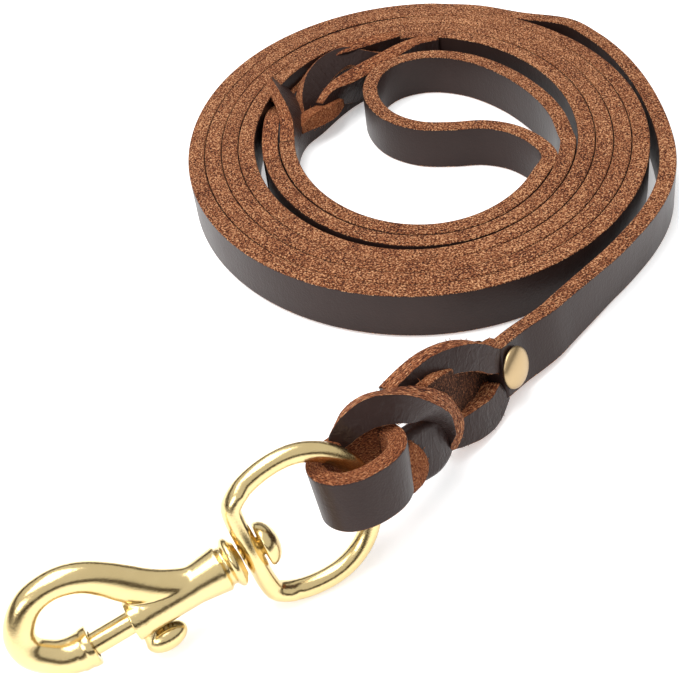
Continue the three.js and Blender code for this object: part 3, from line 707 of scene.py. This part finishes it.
lead_and_coil()
hand_loop()
hand_braid()
snap_braid()
snap_loop()
stray_fibres("snap_braid_fibres", ("braid_upper_leg", "braid_lower_leg", "braid_crossing_strand",
                                   "riveted_end", "braid_raw_fold"), 0.30, 0.62, 11)
stray_fibres("hand_braid_fibres", ("hand_braid_grey_fold", "hand_braid_dark_over", "cut_strap_end",
                                   "hand_braid_flesh_fold"), 0.7, 0.8, 12)


# ------------------------------------------------------------------ rivet
TURNING_STEPS = 48


def turned(name, matrix, profile, body, finish, replaced):
    """A piece turned about its X axis from (along, radius) points that start and end on the axis."""
    bm = bmesh.new()
    verts = [bm.verts.new((x, r, 0)) for x, r in profile]
    edges = [bm.edges.new(pair) for pair in zip(verts, verts[1:])]
    bmesh.ops.spin(bm, geom=verts + edges, cent=(0, 0, 0), axis=(1, 0, 0), angle=math.tau,
                   steps=TURNING_STEPS, use_merge=True, use_duplicate=False)
    bmesh.ops.remove_doubles(bm, verts=bm.verts, dist=0.002)
    bmesh.ops.recalc_face_normals(bm, faces=bm.faces)
    bmesh.ops.transform(bm, matrix=matrix, verts=bm.verts)
    finish_piece(name, bm, body, finish, replaced)


FRONTWARD = Matrix.Rotation(math.radians(90), 4, "Z")


def rivet():
    """The domed head; the shank and the burr at the back are the solids themselves."""
    front = STRAP_THICKNESS / 2 + 0.3
    rim, radius, rise = 0.6, 4.85, 1.4
    dome = [(front, 0), (front, radius - 0.15), (front + 0.25, radius + 0.1), (front + rim, radius + 0.05)]
    angles = (0.2, 0.45, 0.7, 0.95, 1.2, 1.4)
    dome += [(front + rim + rise * math.sin(a), radius * math.cos(a)) for a in angles]
    dome += [(front + rim + rise, 0)]
    turned("rivet_head", BRAID @ FRONTWARD, dome, "leather", RIVET_BRASS, ("rivet_cap",))
    for node in ("rivet_burr", "rivet_shank"):
        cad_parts[node].data.materials.clear()
        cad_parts[node].data.materials.append(RIVET_BRASS)


rivet()

# ------------------------------------------------------------------ snap hardware
# Along the snap's own axis, from its base bar towards the hook's tip.
EYE_WIRE = 2.1
COLLAR_START = 2.4
BARREL_START = 5.0
FLARE_START = 6.3
FLARE_END = 13.3
BORE_START = BARREL_START + 1.9
SLOT_START = 9.6
MOUTH = 26.2
SOCKET_START = 34.2
SOCKET_FLOOR = SOCKET_START + 2.0
BORE = 2.7
BARREL = 3.9
BOLT_RADIUS = 2.3
BOLT_TAIL = MOUTH - 1.8 - 2.4
KNOB_STEM = MOUTH - 1.2 - 0.6


def swivel_eye():
    """One bent wire: a straight base bar with a boss, two shoulders and a round bow."""
    half_width, length, shoulder, bar = 14.25, 26.2, 12.0, 8.5
    half = [(0, 0.0), (0, bar * 0.4), (0, bar * 0.8)]
    for i in range(1, 7):
        angle = math.pi / 2 * i / 6
        half.append((-shoulder * (1 - math.cos(angle)), bar + (half_width - bar) * math.sin(angle)))
    far = []
    for i in range(1, 16):
        angle = math.pi * i / 16
        far.append((-shoulder - (length - shoulder) * math.sin(angle), half_width * math.cos(angle)))
    mirrored = [(s, -t) for s, t in half[1:]][::-1]
    route = [(s, 0, t) for s, t in half + far + mirrored]
    route = even_route(smooth_route(route + [route[0]], 0.8), 1.0)[:-1]
    places = in_frame(SNAP, route)
    count = len(places)
    front = SNAP.to_3x3() @ Vector((0, 1, 0))
    frames = []
    sizes = []
    for i, place in enumerate(places):
        ahead = (places[(i + 1) % count] - places[i - 1]).normalized()
        frames.append(axes_at(place, front, ahead.cross(front), ahead))
        s, _, t = route[i]
        boss = math.exp(-(t / 4.6) ** 2) if s > -3 else 0
        bar_part = 1.0 if s > -4 else 0.0
        sizes.append((1 + 0.28 * bar_part + 0.50 * boss, 1.0 - 0.04 * bar_part))
    bm = bmesh.new()
    bmesh.ops.create_circle(bm, cap_ends=True, radius=EYE_WIRE, segments=20)
    sweep(bm, frames, sizes, closed=True)
    finish_piece("swivel_eye_ring", bm, "eye", BRASS, ("swivel_eye",), weighted=False)


HOOK_LINE = [
    # along, up, half height, half thickness
    (9, 0.0, 3.7, 3.6), (13.5, 0.5, 3.8, 3.5), (17.4, 2.6, 3.7, 3.2), (20.6, 5.0, 3.7, 3.0),
    (23.6, 7.9, 3.7, 2.9),
    (26.2, 10.7, 3.4, 2.9), (29.2, 13.3, 3.1, 3.0), (32.6, 14.9, 2.95, 3.0), (36.2, 15.4, 2.8, 3.0),
    (40.0, 14.6, 2.9, 3.0), (43.0, 12.3, 3.0, 3.0), (44.9, 9.0, 3.0, 3.0), (44.6, 5.4, 3.1, 3.1),
    (42.4, 2.7, 3.3, 3.25), (40.2, 1.0, 3.5, 3.5), (37.4, 0.1, 3.7, 3.7), (35.4, 0.0, 3.8, 3.8),
]


ONTO_X = Matrix.Rotation(math.radians(90), 3, "Y")


def rod(bm, start, end, radius, end_radius=None):
    """A round rod along X, which may be tapered."""
    made = bmesh.ops.create_cone(bm, cap_ends=True, segments=48, radius1=radius,
                                 radius2=end_radius or radius, depth=end - start)
    bmesh.ops.rotate(bm, verts=made["verts"], matrix=ONTO_X)
    bmesh.ops.translate(bm, verts=made["verts"], vec=((start + end) / 2, 0, 0))


def bead(bm, middle, radius, half_length):
    """A rounded swelling on the X axis."""
    made = bmesh.ops.create_uvsphere(bm, u_segments=40, v_segments=20, radius=1)
    bmesh.ops.rotate(bm, verts=made["verts"], matrix=ONTO_X)
    bmesh.ops.scale(bm, verts=made["verts"], vec=(half_length, radius, radius))
    bmesh.ops.translate(bm, verts=made["verts"], vec=(middle, 0, 0))


def loose_object(name, bm):
    """A helper solid, in the row's frame, that is removed again once it has been used."""
    bmesh.ops.transform(bm, matrix=TO_ROW @ SNAP, verts=bm.verts)
    return object_from(bm, name)


def cast(name, shapes, tools, body, replaced, voxel=0.25, smoothing=9):
    """Melts several closed shapes into one cast piece, softens it and cuts the tools out of it."""
    source = loose_object(name + "_source", shapes)
    melt = source.modifiers.new("melt", "REMESH")
    melt.mode = "VOXEL"
    melt.voxel_size = voxel * MM
    soften = source.modifiers.new("soften", "SMOOTH")
    soften.factor = 0.5
    soften.iterations = smoothing
    cutters = [loose_object(f"{name}_cut_{i}", tool) for i, tool in enumerate(tools)]
    for cutter in cutters:
        remove = source.modifiers.new("remove", "BOOLEAN")
        remove.operation = "DIFFERENCE"
        remove.object = cutter
        remove.solver = "EXACT"
    bpy.context.view_layer.update()
    graph = bpy.context.evaluated_depsgraph_get()
    mesh = bpy.data.meshes.new_from_object(source.evaluated_get(graph))
    mesh.name = name
    for spare in (source, *cutters):
        bpy.data.objects.remove(spare)
    piece = bpy.data.objects.new(name, mesh)
    bpy.context.scene.collection.objects.link(piece)
    mesh.materials.clear()
    mesh.materials.append(BRASS)
    mesh.polygons.foreach_set("use_smooth", [True] * len(mesh.polygons))
    mesh.set_sharp_from_angle(angle=math.radians(40))
    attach(piece, body)
    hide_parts(*replaced)


def snap_hook():
    """The collar, the barrel with its bore and slot, and the hook that ends in a socket."""
    shapes = bmesh.new()
    fine = smooth_route([(s, 0, t, h, w) for s, t, h, w in HOOK_LINE], 0.6)
    places = [Vector((p[0], 0, p[2])) for p in fine]
    side = Vector((0, 1, 0))
    frames = []
    for i, place in enumerate(places):
        ahead = (places[min(i + 1, len(places) - 1)] - places[max(i - 1, 0)]).normalized()
        frames.append(axes_at(place, side.cross(ahead), side, ahead))
    bmesh.ops.create_circle(shapes, cap_ends=True, radius=1, segments=32)
    sweep(shapes, frames, [(p[3], p[4]) for p in fine])
    rod(shapes, COLLAR_START + 0.6, MOUTH, BARREL)
    rod(shapes, MOUTH - 2.6, MOUTH, BARREL + 0.2)
    bead(shapes, COLLAR_START + 1.6, 5.3, 1.8)
    bead(shapes, COLLAR_START + 4.5, 4.5, 2.6)
    rod(shapes, COLLAR_START, COLLAR_START + 4.0, 3.6)
    rod(shapes, FLARE_START, FLARE_END, 4.75, BARREL - 0.1)
    rod(shapes, SOCKET_START, SOCKET_START + 3.4, 3.85)
    rod(shapes, SOCKET_START, SOCKET_START + 1.5, 4.1)
    bmesh.ops.recalc_face_normals(shapes, faces=shapes.faces)
    bore = bmesh.new()
    rod(bore, BORE_START, SOCKET_FLOOR, BORE)
    slot = bmesh.new()
    made = bmesh.ops.create_cube(slot, size=1)
    slot_end = MOUTH + 1
    bmesh.ops.scale(slot, verts=made["verts"], vec=(slot_end - SLOT_START, 3.2, 6))
    bmesh.ops.translate(slot, verts=made["verts"], vec=((slot_end + SLOT_START) / 2, 0, -4.0))
    cast("snap_hook_body", shapes, (bore, slot), "snap", ("snap_body",))


def snap_knob():
    """The thumb knob and its stem, which runs in the barrel's slot."""
    shapes = bmesh.new()
    made = bmesh.ops.create_uvsphere(shapes, u_segments=32, v_segments=16, radius=1)
    bmesh.ops.scale(shapes, verts=made["verts"], vec=(4.3, 2.9, 2.6))
    bmesh.ops.translate(shapes, verts=made["verts"], vec=(KNOB_STEM - 2.5, 0, -6.8))
    post = bmesh.ops.create_cone(shapes, cap_ends=True, segments=24, radius1=1.6, radius2=1.2, depth=3.4)
    bmesh.ops.translate(shapes, verts=post["verts"], vec=(KNOB_STEM, 0, -4.3))
    bmesh.ops.recalc_face_normals(shapes, faces=shapes.faces)
    cast("snap_thumb_knob", shapes, (), "bolt", ("thumb_knob",), voxel=0.22, smoothing=4)


def snap_small_parts():
    """The swivel pin with its domed head, the bolt and its spring."""
    pin = [(2.1, 0), (2.1, 2.0), (-2.3, 2.0), (-2.4, 4.3), (-2.6, 4.6), (-3.0, 4.75)]
    pin += [(-3.0 - 3.0 * math.sin(a), 4.7 * math.cos(a)) for a in (0.25, 0.5, 0.75, 1.0, 1.2, 1.4)]
    pin += [(-6.0, 0)]
    turned("snap_swivel_pin", SNAP, pin, "snap", BRASS, ("swivel_pin",))
    tip = SOCKET_FLOOR - 0.3
    chamfer = 0.4
    bolt = [(BOLT_TAIL, 0), (BOLT_TAIL, BOLT_RADIUS), (tip - chamfer, BOLT_RADIUS)]
    bolt += [(tip, BOLT_RADIUS - chamfer), (tip, 0)]
    turned("snap_bolt_rod", SNAP, bolt, "bolt", BRASS, ("bolt",))
    bolt_spring(BORE_START + 0.6, BOLT_TAIL - 0.6)


def bolt_spring(start, end):
    """The coil spring behind the bolt, wound evenly from start to end."""
    coils, steps, wire, radius = 8, 24, 0.3, 2.0
    pitch = (end - start) / coils
    bm = bmesh.new()
    bmesh.ops.create_circle(bm, cap_ends=True, radius=wire, segments=8)
    places = []
    for i in range(coils * steps + 1):
        angle = math.tau * i / steps
        places.append(Vector((start + pitch * i / steps, radius * math.cos(angle), radius * math.sin(angle))))
    sweep(bm, frames_along(places, [Vector((1, 0, 0))] * len(places)))
    bmesh.ops.transform(bm, matrix=SNAP, verts=bm.verts)
    piece = finish_piece("bolt_spring_coil", bm, "snap", STEEL, ("bolt_spring",),
                         weighted=False)
    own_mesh(piece)


swivel_eye()
snap_hook()
snap_knob()
snap_small_parts()


# ------------------------------------------------------------------ floor and light
def staged(name, bm, finish):
    """A thing of the studio, which isn't part of the lead."""
    made = object_from(bm, name)
    made.data.materials.append(finish.material)
    return made


def floor():
    finish = Finish("pale_floor")
    finish.set(base_color=(0.90, 0.90, 0.90, 1), roughness=0.9, specular_ior_level=0.1)
    finish.set(emission_color=(1, 1, 1, 1), emission_strength=0.34)
    bm = bmesh.new()
    bmesh.ops.create_grid(bm, x_segments=1, y_segments=1, size=6)
    staged("floor", bm, finish)


def dark_card():
    """A dark band round the set that only the brass sees."""
    radius, low, height = 0.8, 0.10, 0.26
    finish = Finish("dark_card")
    finish.set(base_color=(0.035, 0.025, 0.016, 1), roughness=1.0, specular_ior_level=0.0)
    bm = bmesh.new()
    made = bmesh.ops.create_circle(bm, cap_ends=False, radius=radius, segments=64,
                                   matrix=Matrix.Translation((0, 0, low)))
    rim, _ = grow(bm, list({e for v in made["verts"] for e in v.link_edges}))
    bmesh.ops.translate(bm, verts=rim, vec=(0, 0, height))
    card = staged("dark_card", bm, finish)
    card.visible_camera = card.visible_diffuse = card.visible_shadow = False


def white_world():
    world = bpy.data.worlds.new("studio")
    bpy.context.scene.world = world
    world.use_nodes = True
    background = world.node_tree.nodes["Background"]
    background.inputs["Color"].default_value = (1.0, 1.0, 1.0, 1)
    background.inputs["Strength"].default_value = 0.80


def soft_light(name, place, aim, size, power):
    """A rectangular lamp that faces its aim."""
    data = bpy.data.lights.new(name, "AREA")
    data.shape = "RECTANGLE"
    data.size, data.size_y = size
    data.energy = power
    lamp = bpy.data.objects.new(name, data)
    lamp.location = place
    lamp.rotation_euler = (Vector(aim) - Vector(place)).to_track_quat("-Z", "Y").to_euler()
    bpy.context.scene.collection.objects.link(lamp)


floor()
white_world()
dark_card()
soft_light("overhead", (-0.25, 0.10, 0.95), (0, 0, 0), (0.9, 0.7), 9.0)
soft_light("left_front", (-0.75, -0.75, 0.55), (0, -0.05, 0.0), (0.5, 0.6), 4.0)
bpy.context.scene.view_settings.view_transform = "Standard"
